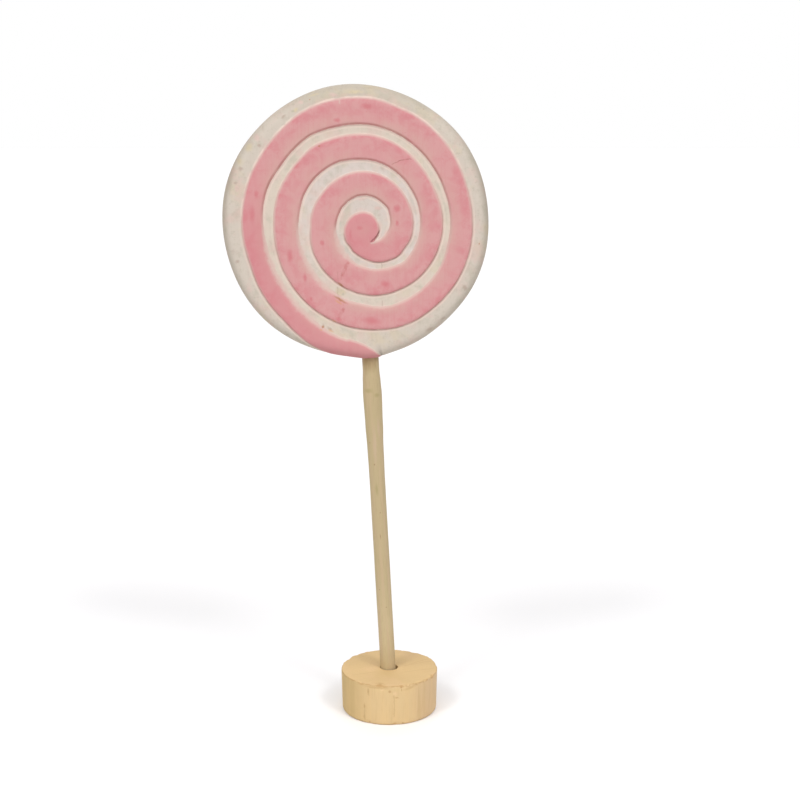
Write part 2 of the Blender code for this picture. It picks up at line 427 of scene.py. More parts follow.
class Row:
    # one ray of the carving: the white's start and the pink's two edges, as lengths over the surface
    def __init__(self, angle, side):
        self.angle = angle
        self.rim = rimRadius(angle)
        self.outer = arcOf(self.rim - outerEdge(angle, side))
        self.white = -99.0 if angle < whiteStart else arcOf(self.rim - innerEdge(angle - 360, side))
        self.closed = angle > whorlStart
        self.inner = arcOf(self.rim if self.closed else self.rim - innerEdge(angle, side))
        self.whiteFrom = max(self.white, 0.0)
        self.pinkFrom = max(self.outer, self.whiteFrom)
        self.pinkTo = max(self.inner, self.pinkFrom)
        # how deep the groove beside each edge is, 1 for its full depth
        self.fullOuter = grooveFullness(angle, side)
        self.fullInner = 0.0 if self.closed else grooveFullness(angle + 360, side)
        self.atRim = 1 - smoothStep(whiteStart, whiteStart + 24, angle)
        self.softOut = softness(angle, True)
        self.softIn = softness(angle, False)

    def inWhite(self, across):
        # length over the surface, distance from the pink (below 0), softness of the nearer edge, and depth
        arc = blend(self.whiteFrom, self.pinkFrom, 1 - spread(1 - across, 1 - self.atRim))
        toOuter, toInner = self.outer - arc, arc - self.white
        between = smoothStep(0.35, 0.65, toInner / max(self.outer - self.white, 0.01))
        depth = blend(edgeDepth(-toInner, self.softIn), edgeDepth(-toOuter, self.softOut), between)
        soft = self.softOut if toOuter < toInner else self.softIn
        return arc, -min(toOuter, toInner), soft, depth * self.fullOuter

    def inPink(self, across):
        # the same on the pink, where the distance is above 0
        arc = blend(self.pinkFrom, self.pinkTo, spread(across))
        fromOuter, fromInner = arc - self.outer, self.inner - arc
        depth = edgeDepth(fromOuter, self.softOut) * self.fullOuter
        if self.closed:
            return arc, fromOuter, self.softOut, depth
        depth = max(depth, edgeDepth(fromInner, self.softIn) * self.fullInner)
        soft = self.softOut if fromOuter < fromInner else self.softIn
        return arc, min(fromOuter, fromInner), soft, depth


def pointOn(row, arc, side):
    inset, height = sectionAt(arc)
    turn = radians(row.angle)
    x = disc["whorl"][0] - sin(turn) * (row.rim - inset)
    z = disc["whorl"][1] - cos(turn) * (row.rim - inset)
    return x, side * height, z


def unevenness(x, z, side, edge, isWhite):
    uneven = sum(height * waver(x, side * faceApart, z, width, seed) for height, width, seed in faceLumps)
    if isWhite:
        height, width, seed = whiteLumps
        lump = height * waver(x, side * faceApart, z, width, seed)
        uneven += lump * smoothStep(0.0, 2.0, -edge)
    if side < 0:
        uneven += sum(deep * exp(-((x - dentX) / wide) ** 2 - ((z - dentZ) / high) ** 2)
                      for dentX, dentZ, wide, high, deep in discDents)
    return uneven


def carveFace(shape, side, layers):
    rows = round((disc["grooveTip"] - disc["start"]) / disc["rowStep"])
    white, pink = disc["whiteColumns"], disc["pinkColumns"]
    grid = bmesh.ops.create_grid(shape, x_segments=rows, y_segments=white + pink, size=1)["verts"]
    rays = [Row(disc["start"] + step * disc["rowStep"], side) for step in range(rows + 1)]
    tipRow = round((whorlStart - disc["start"]) / disc["rowStep"])
    tipRay = rays[-1]
    flat = disc["thickness"] / 2 - disc["rimRounding"]
    crown, crownWidth = disc["crown"]
    places = {}
    for vert in grid:
        along = round((vert.co.x + 1) / 2 * rows)
        column = round((vert.co.y + 1) / 2 * (white + pink))
        row = rays[along]
        isWhite = column <= white
        across = column / white if isWhite else (column - white) / pink
        arc, edge, soft, depth = row.inWhite(across) if isWhite else row.inPink(across)
        x, y, z = pointOn(row, arc, side)
        if row.closed and not isWhite:
            # the whorl's last rows fan in towards its middle
            fan = spread(min(along - tipRow, pink) / pink)
            toX, _, toZ = pointOn(tipRay, blend(tipRay.outer, tipRay.inner, fan), side)
            fromX, _, fromZ = pointOn(row, row.pinkFrom, side)
            x = blend(fromX, toX, spread(across))
            z = blend(fromZ, toZ, spread(across))
            edge = hypot(x - fromX, z - fromZ)
            depth = edgeDepth(edge, row.softOut) * row.fullOuter
        inset = max(0.0, row.rim - hypot(x - disc["whorl"][0], z - disc["whorl"][1]))
        depth += crown * max(0.0, 1 - inset / crownWidth) ** 2
        below = disc["skin"] + unevenness(x, z, side, edge, isWhite)
        below *= min(1.0, arc / disc["smoothSide"])
        y -= side * (depth * min(1.0, arc / flat) + below)
        vert.co = (x * mm, y * mm, z * mm)
        vert[layers["edge"]] = max(-6.0, min(6.0, edge))
        vert[layers["soft"]] = soft
        vert[layers["rim"]] = min(12.0, inset)
        places[vert] = (row.angle / 360, across if isWhite else 1 + across)
    for face in {face for vert in grid for face in vert.link_faces}:
        for loop in face.loops:
            loop[layers["band"]].uv = places[loop.vert]


def makeDisc(material):
    shape = bmesh.new()
    layers = {name: shape.verts.layers.float.new(name) for name in ("edge", "soft", "rim")}
    layers["band"] = shape.loops.layers.uv.new("band")
    for side in (-1, 1):
        carveFace(shape, side, layers)
    bmesh.ops.remove_doubles(shape, verts=shape.verts, dist=0.01 * mm)
    bmesh.ops.dissolve_degenerate(shape, dist=0.005 * mm, edges=shape.edges)
    bmesh.ops.recalc_face_normals(shape, faces=shape.faces)
    openEdges = sum(not edge.is_manifold for edge in shape.edges)
    print("Disc:", len(shape.faces), "faces,", openEdges, "open edges")
    return finishPiece("carved_swirl_disc", shape, material)


# Painted wood of the disc

paint = {
    "pink": shade(206, 151, 150),
    "pinkDeep": shade(202, 127, 132),
    "pinkMark": shade(199, 116, 122),
    "pinkThin": shade(202, 163, 153),
    "pinkWornAndLit": shade(206, 176, 167),
    "border": shade(203, 192, 179),
    "groove": shade(210, 197, 182),
    "whorlGroove": shade(210, 198, 190),
    "centreGroove": shade(200, 189, 178),
    "dustAndShade": shade(178, 168, 150),
    "litEdge": shade(238, 217, 203),
    "yellowish": shade(206, 190, 158),
    "greenish": shade(180, 174, 156),
    "pinkish": shade(211, 184, 174),
    "brownish": shade(180, 160, 146),
    # cut is the tone of real dark cracks and grain, and also of the painted shadow line along the crisp edges
    "cut": shade(158, 100, 92),
    "redMark": shade(184, 98, 98),
    "tip": shade(104, 52, 48),
    "chip": shade(170, 118, 84),
    "bareWood": shade(206, 150, 106),
    "rimShadeAndGrime": shade(218, 217, 212),
}

# how the paint lies: noise in lumps to the metre
paintwork = {
    "ragged": (520, 1.6),          # noise that moves the marks, and by how many millimetres
    "wander": (480, 0.5, 2.6),     # noise along the pink's border, its width, and what fading adds to that
    "fadeShift": 1.1,              # how far the pink spreads down a faded edge
    # wornReach also sets how far the painted highlight beside up-facing edges reaches
    "wornReach": (1.3, 2.2),       # how far wear reaches into the pink, and what fading adds to that
    "blotches": 130,
    "grain": (900, 900, 45),
    "thinPatches": 75,
    "flecks": 1100,
    "mottle": 520,
    "smears": 210,
    "brush": 650,
    "relief": 0.3,
    "roughness": (0.55, 0.72),
}

# tints in the white: lumps to the metre, where in the noise each starts, and strength
whiteTints = {
    "yellowish": (95, 0.50, 0.40),
    "greenish": (120, 0.50, 0.50),
    "pinkish": (105, 0.50, 0.55),
    "brownish": (170, 0.58, 0.45),
}

# marks on the front: (x, z, width, height, turn)
discMarks = {
    "pinkMark": (
        (-65.8, 256, 4, 12, 0), (-63.7, 266, 3, 5, 0), (-10.2, 307.2, 8, 4, 10), (-24.5, 300.8, 4, 3, 0),
        (4.1, 259, 5, 5, 0), (4.1, 252, 2, 4, 0), (-1.8, 222.5, 6, 4, 0), (-37.9, 215.2, 2, 3, 0),
        (-8.2, 204.5, 13, 6, 10), (-40.7, 225.5, 3, 6, 0), (-44.3, 279.7, 5, 5, 0), (-32.2, 242.4, 3, 4, 0),
        (-24.5, 205.2, 4, 2.5, 20), (-47.9, 236, 4, 9, 0), (-18.4, 246.4, 2, 7, 0), (-14.0, 249.6, 4, 3, 0),
    ),
    "yellowish": (
        (-67.1, 288.2, 6, 7, 30), (-72.0, 281.5, 5, 6, 0), (-44.4, 305.5, 5, 2.5, -30),
        (-35.5, 312.6, 9, 2, -15), (-16, 314, 12, 3, 0), (-23.2, 218.8, 9, 7, -30), (-16.8, 231.4, 2.5, 2, 0),
    ),
    "greenish": (
        (-76.5, 271, 4, 12, 8), (-73.6, 255.9, 6, 5, 0), (-45.8, 304.9, 3, 2, 0), (-26.8, 203.6, 3, 2, -30),
        (-22.4, 217.6, 2.5, 2.5, 0), (8, 313, 10, 3, 12),
    ),
    "pinkish": (
        (-72.8, 268.8, 4, 6, 0), (-63.2, 292.9, 7, 5, 45), (-42.0, 309.2, 5, 3, 0), (-26, 312.5, 7, 3, 10),
        (-8.8, 282.6, 22, 2.4, 0), (-1.3, 246.8, 3, 6, 20), (-5, 259.2, 6, 3, 0), (-37.3, 226.4, 7, 7, 45),
        (-12, 264, 9, 3, -10),
    ),
    "brownish": (
        (-71.0, 277.9, 3.5, 3, 0), (-61.8, 289.1, 3, 3, 0), (-50.1, 302.4, 4, 2, -35),
        (-73.7, 271.2, 3, 2, 0), (-73.6, 233.2, 3, 3, 0), (26.6, 205.2, 5, 2.5, -35),
        (37.2, 220.6, 3, 5, -30), (20.2, 199.9, 7, 3, -25), (-29.0, 200.4, 4, 2, 30),
    ),
    "bareWood": (
        (-24.4, 213.6, 6.4, 1.7, 31), (-28.4, 199.2, 5.0, 2.2, 35), (-33.2, 199.9, 2.2, 1.6, 20),
        (-26.8, 204.3, 3.0, 1.4, 30),
    ),
    "chip": (
        (-23.6, 214.9, 9.6, 1.8, 33), (-32.2, 201.4, 2.2, 2.2, 0), (-23.5, 222.2, 4.4, 1.3, 33),
        (16.9, 306.0, 1.0, 0.8, 0), (44.0, 242.0, 0.7, 1.9, 0), (24.3, 213.2, 0.9, 0.9, 0),
        (-33.2, 288.7, 2.0, 0.7, -10), (-37.4, 310.4, 1.0, 0.5, 0),
    ),
}

# lines on the front: (x, z, length, turn, bow)
discCracks = {
    "red": ((-21.0, 229.6, 8.8, -66, 0.3), (-23.1, 208.2, 6.5, -62, 0.2)),
    "dark": ((6.4, 281.0, 10.4, -15, 0.9),),
    "seam": ((-3.5, 231.2, 3.6, 90, 0.1), (-3.4, 213.0, 3.6, 90, 0.2)),
    "grain": ((-24.9, 226.0, 6.4, 88, 0.2), (-23.1, 226.6, 4.6, 92, 0.1), (-24.9, 218.6, 5.6, 90, 0.2)),
    # the tip line is painted shade, with some dirt, in the deep cut at the groove's tip
    "tip": ((-6.9, 245.8, 7.4, -51, -0.9),),
    "scar": ((-23.0, 309.6, 3.4, -84, 0.25),),
}

# how the damage shows: a line's half width or a spot's softness, strength, tone, and how deep it is sunk
discDamage = {
    "red": (1.2, 0.5, "redMark", 0.3),
    "dark": (0.3, 0.6, "cut", 1.6),
    "seam": (0.4, 0.55, "brownish", 0.8),
    "grain": (0.35, 0.22, "cut", 0.0),
    "tip": (0.55, 0.6, "tip", 0.6),
    "scar": (0.5, 0.8, "pinkWornAndLit", 0.0),
    "bareWood": (0.9, 0.6, "bareWood", 0.0),
    "chip": (0.8, 0.85, "chip", 0.6),
}


def discPlaces(tree):
    # what the carving stored in the mesh, and what the paint goes by
    stored = ("edge", "soft", "rim")
    at = {name: addNode(tree, "Attribute", attribute_name=name).outputs["Fac"] for name in stored}
    coords = addNode(tree, "TexCoord").outputs["Object"]
    at["coords"] = coords
    at["height"] = separated(tree, coords)[2]
    at["turns"], at["across"], _ = separated(tree, addNode(tree, "UVMap", uv_map="band").outputs[0])
    at["ragged"] = shaken(tree, coords, *paintwork["ragged"], roughness=0.6)
    at["grain"] = cloud(tree, placed(tree, coords, scale=paintwork["grain"]), 1, 3.0, 0.6)
    at["crisp"] = calculate(tree, "SUBTRACT", 1.0, at["soft"], clamp=True)
    at["fade"] = calculate(tree, "SUBTRACT", at["soft"], 1.0, clamp=True)

    # the brush left the line between pink and white a little ragged, most of all where the cut fades out
    lumps, least, more = paintwork["wander"]
    wander = calculate(tree, "SUBTRACT", cloud(tree, coords, lumps, 5.0, 0.65), 0.5)
    wander = times(tree, wander, linearOf(tree, at["fade"], more, least))
    shifted = linearOf(tree, at["fade"], paintwork["fadeShift"], at["edge"])
    at["border"] = calculate(tree, "ADD", shifted, wander)
    return at


def pinkPaint(tree, at):
    # laid on thicker along the outer side, thin and greyer along the inner one, with streaks up the grain
    coords, across, turns = at["coords"], at["across"], at["turns"]
    blotch = rangeOf(tree, cloud(tree, coords, paintwork["blotches"], 5.0, 0.65, 0.4), 0.40, 0.68)
    thick = linearOf(tree, rangeOf(tree, across, 1.75, 1.15), 0.5, 0.4)
    pink = mixColour(tree, times(tree, thick, blotch), paint["pink"], paint["pinkDeep"])
    patches = cloud(tree, placed(tree, coords, location=(3, 1, 2)), paintwork["thinPatches"], 3.0, 0.5)
    thin = times(tree, rangeOf(tree, across, 1.35, 1.95), rangeOf(tree, patches, 0.34, 0.6))
    pink = tint(tree, pink, thin, 0.8, paint["pinkThin"])
    pink = tint(tree, pink, rangeOf(tree, at["grain"], 0.48, 0.72), 0.2, paint["pinkDeep"])
    fleck = rangeOf(tree, cloud(tree, coords, paintwork["flecks"], 2.0), 0.66, 0.76)
    pink = tint(tree, pink, fleck, 0.55, paint["pinkDeep"])
    pink = tint(tree, pink, spots(tree, at["ragged"], discMarks["pinkMark"], 0.85), 0.75, paint["pinkMark"])

    # redder near the band's point and in the whorl
    ends = calculate(tree, "MAXIMUM", rangeOf(tree, turns, 0.36, 0.24), rangeOf(tree, turns, 2.75, 3.05))
    pink = tint(tree, pink, ends, 0.5, paint["pinkDeep"])

    # paler beside the edges that face up, partly wear and partly painted highlight, and rubbed thin where
    # they fade out
    near, more = paintwork["wornReach"]
    reach = linearOf(tree, at["fade"], more, near)
    worn = times(tree, rangeOf(tree, at["border"], reach, 0.2), calculate(tree, "MINIMUM", at["soft"], 1.0))
    pink = tint(tree, pink, worn, 0.85, paint["pinkWornAndLit"])
    rubbed = times(tree, rangeOf(tree, at["border"], times(tree, reach, 0.7), 0.0), at["fade"])
    return tint(tree, pink, rubbed, 0.4, paint["groove"])


def whitePaint(tree, at):
    # mottled, duller on the border than in the grooves
    coords, turns = at["coords"], at["turns"]
    white = mixColour(tree, rangeOf(tree, turns, 0.96, 1.03), paint["border"], paint["groove"])
    white = mixColour(tree, rangeOf(tree, turns, 1.9, 2.4), white, paint["whorlGroove"])
    white = mixColour(tree, rangeOf(tree, turns, 2.85, 3.1, 0.0, 0.3), white, paint["centreGroove"])
    # painted shade: the white is darkened towards the top of the disc, where the lamps light it most
    white = mixColour(tree, rangeOf(tree, at["height"], 0.300, 0.313, 0.0, 0.45), white, paint["dustAndShade"])
    for order, (name, (lumps, low, strength)) in enumerate(whiteTints.items(), 1):
        patches = cloud(tree, placed(tree, coords, location=(order, 5, 7)), lumps, 4.0, 0.6, 0.3)
        patches = times(tree, rangeOf(tree, patches, low, low + 0.2), strength)
        marks = times(tree, spots(tree, at["ragged"], discMarks[name], 0.75), 0.85)
        white = mixColour(tree, calculate(tree, "MAXIMUM", patches, marks), white, paint[name])
    mottle = rangeOf(tree, cloud(tree, coords, paintwork["mottle"], 5.0, 0.7), 0.5, 0.72)
    white = tint(tree, white, mottle, rangeOf(tree, turns, 0.96, 1.03, 0.5, 0.25), paint["dustAndShade"])
    patches = rangeOf(tree, cloud(tree, coords, paintwork["smears"], 4.0, 0.6), 0.42, 0.7)
    smear = times(tree, rangeOf(tree, at["border"], -2.4, -0.4), patches)
    white = tint(tree, white, smear, 0.6, paint["pinkish"])
    return tint(tree, white, rangeOf(tree, at["grain"], 0.5, 0.75), 0.15, paint["brownish"])


def paintEdges(tree, at, white, pink):
    # the crisp edges, which face down, get a painted shadow line on the pink, partly dirt in the cut, and a
    # painted highlight line on the white below it
    coords, edge, border = at["coords"], at["edge"], at["border"]
    # painted highlight: a bright line on the white just below the crisp edges
    paintedLitLine = times(tree, rangeOf(tree, edge, -2.0, -0.9), at["crisp"])
    white = tint(tree, white, paintedLitLine, 0.6, paint["litEdge"])
    whiteTo = linearOf(tree, at["fade"], -1.0, -0.3)
    pinkFrom = times(tree, at["fade"], 0.3)
    colour = mixColour(tree, rangeOf(tree, border, whiteTo, pinkFrom), white, pink)
    # painted shadow line on the pink along the crisp edges, partly dirt in the cut
    fromOuter = calculate(tree, "ABSOLUTE", calculate(tree, "SUBTRACT", at["across"], 1.0))
    besideOuter = rangeOf(tree, fromOuter, 0.6, 0.4)
    cutAt = linearOf(tree, besideOuter, 0.75, edge)
    shadeAndDirtLine = times(tree, rangeOf(tree, cutAt, -0.2, 0.3), rangeOf(tree, cutAt, 1.15, 0.55))
    depth = rangeOf(tree, cloud(tree, coords, 150, 3.0), 0.2, 0.6, 0.2, 0.55)
    colour = mixColour(tree, times(tree, shadeAndDirtLine, at["crisp"], depth), colour, paint["cut"])

    # where the outer edge faces up, a painted highlight: a pale line along the edge
    paintedHighlightLine = times(tree, rangeOf(tree, border, -1.0, -0.4), rangeOf(tree, border, 0.5, 0.05))
    paintedHighlightLine = times(tree, paintedHighlightLine, besideOuter, rangeOf(tree, at["soft"], 0.6, 1.0))
    broken = rangeOf(tree, cloud(tree, coords, 180, 3.0), 0.35, 0.65, 0.05, 0.45)
    paintedHighlightLine = times(tree, paintedHighlightLine, broken, rangeOf(tree, at["turns"], 1.0, 1.3, 1.0, 0.4))
    return mixColour(tree, paintedHighlightLine, colour, paint["litEdge"])


def paintDamage(tree, at, colour):
    marks = {}
    for name, (size, strength, tone, _) in discDamage.items():
        if name in discCracks:
            marks[name] = cracks(tree, at["ragged"], discCracks[name], size)
        else:
            marks[name] = spots(tree, at["ragged"], discMarks[name], size)
        if name == "red":
            broken = rangeOf(tree, cloud(tree, at["coords"], 600, 3.0), 0.36, 0.6, 0.3, 1.0)
            marks[name] = times(tree, marks[name], broken)
        colour = tint(tree, colour, marks[name], strength, paint[tone])
    return colour, marks


def paintedWood():
    material, tree, shader = startMaterial("painted_wood", 0.62, 0.25)
    at = discPlaces(tree)
    colour = paintEdges(tree, at, whitePaint(tree, at), pinkPaint(tree, at))

    # painted shade on the rim's rounding, darker lower down and less so at the top, with some grey grime from
    # handling
    below = rangeOf(tree, at["height"], 0.305, 0.265, 0.25, 1.0)
    rimShadeAndGrime = times(tree, rangeOf(tree, at["rim"], 4.2, 0.3), below, 0.8)
    colour = mixColour(tree, rimShadeAndGrime, colour, paint["rimShadeAndGrime"], "MULTIPLY")
    colour, marks = paintDamage(tree, at, colour)
    feed(tree, shader.inputs["Base Color"], colour)

    # the surface: brushed paint over sanded grain, with the damage sunk in
    brush = times(tree, cloud(tree, at["coords"], paintwork["brush"], 4.0, 0.6), 0.6)
    relief = linearOf(tree, at["grain"], 0.5, brush)
    for name, (_, _, _, sunk) in discDamage.items():
        if sunk:
            relief = linearOf(tree, marks[name], -sunk, relief)
    sheen = cloud(tree, at["coords"], 150, 3.0)
    finishSurface(tree, shader, relief, paintwork["relief"], sheen, paintwork["roughness"])
    return material


discPiece = makeDisc(paintedWood())
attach(discPiece, "root")
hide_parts("swirl_disc")
print("Stage 2: disc carved")

# Stick: a leaning dowel, a little thicker below the disc

stick = {
    "diameter": 8.0,
    "topDiameter": 8.4,
    "swelling": ((118, 8.0), (132, 8.3), (144, 9.0), (160, 9.6), (167, 9.0), (172, 8.4)),    # place, width
    "length": 198.0,
    "lean": 3.0,
    "atBaseTop": (-0.7, 21.7),
    "depthInBase": 15.0,
    "endRounding": 0.4,
    "sides": 72,
    "ringStep": 1.2,
    "worn": 0.05,                  # how far the sanded side lies below the solid's
}


def stickWidth(height):
    places = ((0, stick["diameter"]), *stick["swelling"], (stick["length"], stick["topDiameter"]))
    for (low, lowWidth), (high, highWidth) in zip(places, places[1:]):
        if height <= high:
            return blend(lowWidth, highWidth, smoothStep(low, high, height))
    return places[-1][1]


def stickFrame():
    lean = radians(stick["lean"])
    direction = Vector((-sin(lean), 0, cos(lean)))
    foot = Vector((stick["atBaseTop"][0], 0, stick["atBaseTop"][1])) - stick["depthInBase"] * direction
    return Matrix.Translation(foot * mm) @ Matrix.Rotation(-lean, 4, "Y")


def makeStick(material):
    shape = bmesh.new()
    length, rounding = stick["length"], stick["endRounding"]
    rings = round((length - 2 * rounding) / stick["ringStep"])
    heights = [blend(rounding, length - rounding, ring / rings) for ring in range(rings + 1)]
    section = [(0.0, 0.0), (2.0, 0.0), (stickWidth(0) / 2 - rounding, 0.0)]
    section += [(stickWidth(height) / 2, height) for height in heights]
    section += [(stickWidth(length) / 2 - rounding, length), (2.0, length), (0.0, length)]
    verts = [shape.verts.new((x * mm, 0, z * mm)) for x, z in section]
    edges = [shape.edges.new(pair) for pair in zip(verts, verts[1:])]
    spinRound(shape, verts + edges, stick["sides"])
    for vert in shape.verts:
        x, y, z = vert.co / mm
        around = max(hypot(x, y), 0.01)
        rub = stick["worn"] + 0.05 * waver(x, y, z / 8, 4, 31) + 0.025 * waver(x, y, z / 4, 1.3, 33)
        vert.co.x -= x / around * rub * mm * min(1.0, around)
        vert.co.y -= y / around * rub * mm * min(1.0, around)
    bmesh.ops.recalc_face_normals(shape, faces=shape.faces)
    bmesh.ops.transform(shape, matrix=stickFrame(), verts=shape.verts)
    return finishPiece("dowel_stick", shape, material)


stickTones = {
    "foot": shade(199, 179, 139),
    "middle": shade(186, 167, 129),
    "stainAndShadeUnderDisc": shade(152, 127, 90),
    "streak": shade(196, 170, 138),
    "olive": shade(178, 165, 120),
    "pore": shade(160, 136, 100),
    "oliveMark": shade(158, 146, 98),
    "pinkishMark": shade(199, 172, 148),
    "darkMark": shade(140, 104, 74),
}

# marks on the stick's front: (x, z, width, height, turn)
stickMarks = {
    "dark": (
        (-4.4, 105.8, 0.9, 0.8, 0), (-4.4, 93.2, 0.7, 4.2, -3), (-4.9, 65.0, 0.9, 0.7, 0),
        (-1.5, 55.8, 0.8, 0.9, 0), (-9.5, 142.0, 1.1, 0.7, 0), (-7.3, 131.0, 0.8, 1.2, 0),
    ),
    "olive": ((-10.2, 168.8, 6, 3.5, 0), (-6.0, 166.6, 4, 3, 0), (-6.2, 118.0, 2.5, 9, -3)),
    "pinkish": ((-7.0, 140.0, 2.6, 30, -3), (-5.2, 150.0, 2, 14, -3)),
}


def stickWood():
    material, tree, shader = startMaterial("stick_wood", 0.6, 0.28)
    coords = addNode(tree, "TexCoord").outputs["Object"]
    height = separated(tree, coords)[2]
    upright = placed(tree, coords, rotation=(0, radians(stick["lean"]), 0))
    streaks = cloud(tree, placed(tree, upright, scale=(520, 520, 22)), 1, 3.0, 0.55)
    olive = cloud(tree, placed(tree, upright, location=(5, 3, 1), scale=(380, 380, 16)), 1, 3.0, 0.5)
    patches = cloud(tree, placed(tree, upright, location=(1, 8, 2), scale=(160, 160, 55)), 1, 3.0, 0.55)
    pores = cloud(tree, placed(tree, upright, scale=(2600, 2600, 110)), 1, 3.0, 0.6)

    # bare wood, paler at the foot and darker under the disc: painted shade there, with some stain
    wavy = linearOf(tree, patches, 0.014, calculate(tree, "SUBTRACT", height, 0.007))
    colour = mixColour(tree, rangeOf(tree, wavy, 0.030, 0.085), stickTones["foot"], stickTones["middle"])
    colour = mixColour(tree, rangeOf(tree, wavy, 0.1775, 0.186), colour, stickTones["stainAndShadeUnderDisc"])
    patterns = ((streaks, 0.46, 0.66, 0.55, "streak"), (olive, 0.48, 0.66, 0.5, "olive"),
                (pores, 0.52, 0.74, 0.35, "pore"))
    for pattern, low, high, strength, tone in patterns:
        colour = tint(tree, colour, rangeOf(tree, pattern, low, high), strength, stickTones[tone])
    ragged = shaken(tree, coords, 600, 1.2)
    for name, strength in (("olive", 0.5), ("pinkish", 0.45), ("dark", 0.75)):
        mark = spots(tree, ragged, stickMarks[name], 0.9, front=-4)
        colour = tint(tree, colour, mark, strength, stickTones[name + "Mark"])
    feed(tree, shader.inputs["Base Color"], colour)
    finishSurface(tree, shader, pores, 0.2, patches, (0.52, 0.68))
    return material


stickPiece = makeStick(stickWood())
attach(stickPiece, "root")
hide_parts("stick")
print("Stage 3: stick made")

# Base: a sawn slice of a pale round pole

base = {
    "diameter": 50.0,
    "height": 21.7,
    "topEdge": 0.5,
    "bottomEdge": 1.4,
    "taper": 0.45,                 # how much the radius shrinks towards the underside
    "holeRadius": 4.52,
    "holeShift": -0.22,            # the hole stands wider on the stick's right
    "holeDepth": 15.3,
    "sides": 240,
    "outerPart": (20, 24.6),       # the radii between which the worn side sets in
    "edgeWear": 0.8,               # the height of the rough line along the top edge
}

# dents round the top and bottom edges and in the side: (x, y, z, reach, depth)
baseDents = (
    (-4.0, -24.7, 21.7, 3.2, 0.35), (6.2, -24.2, 21.3, 1.3, 0.70), (6.6, -24.1, 19.2, 1.0, 0.35),
    (9.8, -23.0, 21.6, 1.4, 0.45), (14.6, -20.3, 21.6, 1.8, 0.50), (18.4, -16.9, 21.6, 1.6, 0.45),
    (21.2, -13.2, 21.7, 1.6, 0.60), (22.6, -10.7, 21.5, 1.3, 0.70), (0.5, -25.0, 18.4, 1.5, 0.25),
    (3.6, -24.7, 15.2, 1.8, 0.20), (-12.4, -21.7, 8.0, 1.0, 0.18), (-10.0, -22.9, 0.6, 1.4, 0.60),
    (3.5, -24.8, 0.5, 1.8, 0.55), (7.0, -24.0, 0.5, 1.2, 0.55), (-14.4, -20.4, 21.7, 1.6, 0.25),
    (-22.0, 11.8, 21.7, 2.0, 0.40), (12.5, 21.6, 21.7, 2.4, 0.35), (24.6, 4.0, 21.7, 1.4, 0.45),
)


def baseProfile():
    # half section from the hole's floor up over the top, down the side and in under the base
    radius, height, hole = base["diameter"] / 2, base["height"], base["holeRadius"]
    floor, topEdge, bottomEdge = height - base["holeDepth"], base["topEdge"], base["bottomEdge"]
    low = radius - base["taper"]
    points = [(0.0, floor), (hole / 2, floor), (hole, floor)]
    points += [(hole, blend(floor, height - 0.3, step / 10)) for step in range(1, 11)]
    points += [(hole + 0.08, height - 0.08), (hole + 0.3, height)]
    points += [(blend(hole + 0.3, radius - topEdge, step / 30), height) for step in range(1, 31)]
    corner = radians(90) / 4
    points += [(radius - topEdge * (1 - sin(corner * step)), height - topEdge * (1 - cos(corner * step)))
               for step in range(1, 5)]
    points += [(blend(radius, low, step / 32), blend(height - topEdge, bottomEdge, step / 32))
               for step in range(1, 33)]
    points += [(low - bottomEdge * (1 - cos(corner * step)), bottomEdge * (1 - sin(corner * step)))
               for step in range(1, 5)]
    points += [(blend(low - bottomEdge, 0.0, step / 14), 0.0) for step in range(1, 15)]
    return points


def baseWear(x, y, z, nearEdge):
    # how far the side lies below the solid's, with its dents
    wear = 0.10 + 0.06 * waver(x, y, z / 6, 3.5, 41) + 0.03 * waver(x, y, z / 3, 0.9, 42)
    wear += nearEdge * (0.16 + 0.22 * waver(x, y, z, 1.6, 43))
    for dentX, dentY, dentZ, reach, depth in baseDents:
        far = ((x - dentX) ** 2 + (y - dentY) ** 2 + (z - dentZ) ** 2) / reach**2
        if far < 6:
            wear += depth * exp(-2 * far)
    return max(wear, 0.0)


def makeBase(material):
    shape = bmesh.new()
    verts = [shape.verts.new((x * mm, 0, z * mm)) for x, z in baseProfile()]
    edges = [shape.edges.new(pair) for pair in zip(verts, verts[1:])]
    spinRound(shape, verts + edges, base["sides"])
    for vert in shape.verts:
        x, y, z = vert.co / mm
        around = hypot(x, y)
        if around > base["holeRadius"] + 0.6 or z < 1:
            side = smoothStep(*base["outerPart"], around)
            nearEdge = exp(-((z - base["height"]) / base["edgeWear"]) ** 2) * side
            wear = baseWear(x, y, z, nearEdge)
            vert.co.x -= side * x / max(around, 1) * wear * mm
            vert.co.y -= side * y / max(around, 1) * wear * mm
            if z > 10:
                saw = 0.05 + 0.05 * waver(x + 0.3 * y, y / 9, 0, 1.4, 44) + 0.05 * waver(x, y, 0, 7, 45)
                vert.co.z -= (saw * (1 - side) + 0.7 * nearEdge * wear) * mm
        elif z > 1:
            vert.co.x += base["holeShift"] * mm
    bmesh.ops.recalc_face_normals(shape, faces=shape.faces)
    return finishPiece("round_base", shape, material)


baseTones = {
    "left": shade(196, 167, 113),
    "front": shade(217, 187, 139),
    "right": shade(211, 180, 139),
    "paleStreak": shade(222, 189, 137),
    "darkStreak": shade(199, 167, 116),
    "top": shade(214, 182, 132),
    "ring": shade(212, 180, 128),
    "sawLine": shade(204, 171, 124),
    "topPinkish": shade(221, 186, 144),
    "edgeLine": shade(178, 138, 90),
    "scratch": shade(186, 152, 106),
    "pore": shade(192, 156, 108),
    "shadedMark": shade(194, 158, 108),
    "paleMark": shade(230, 197, 152),
    "darkMark": shade(172, 130, 80),
}

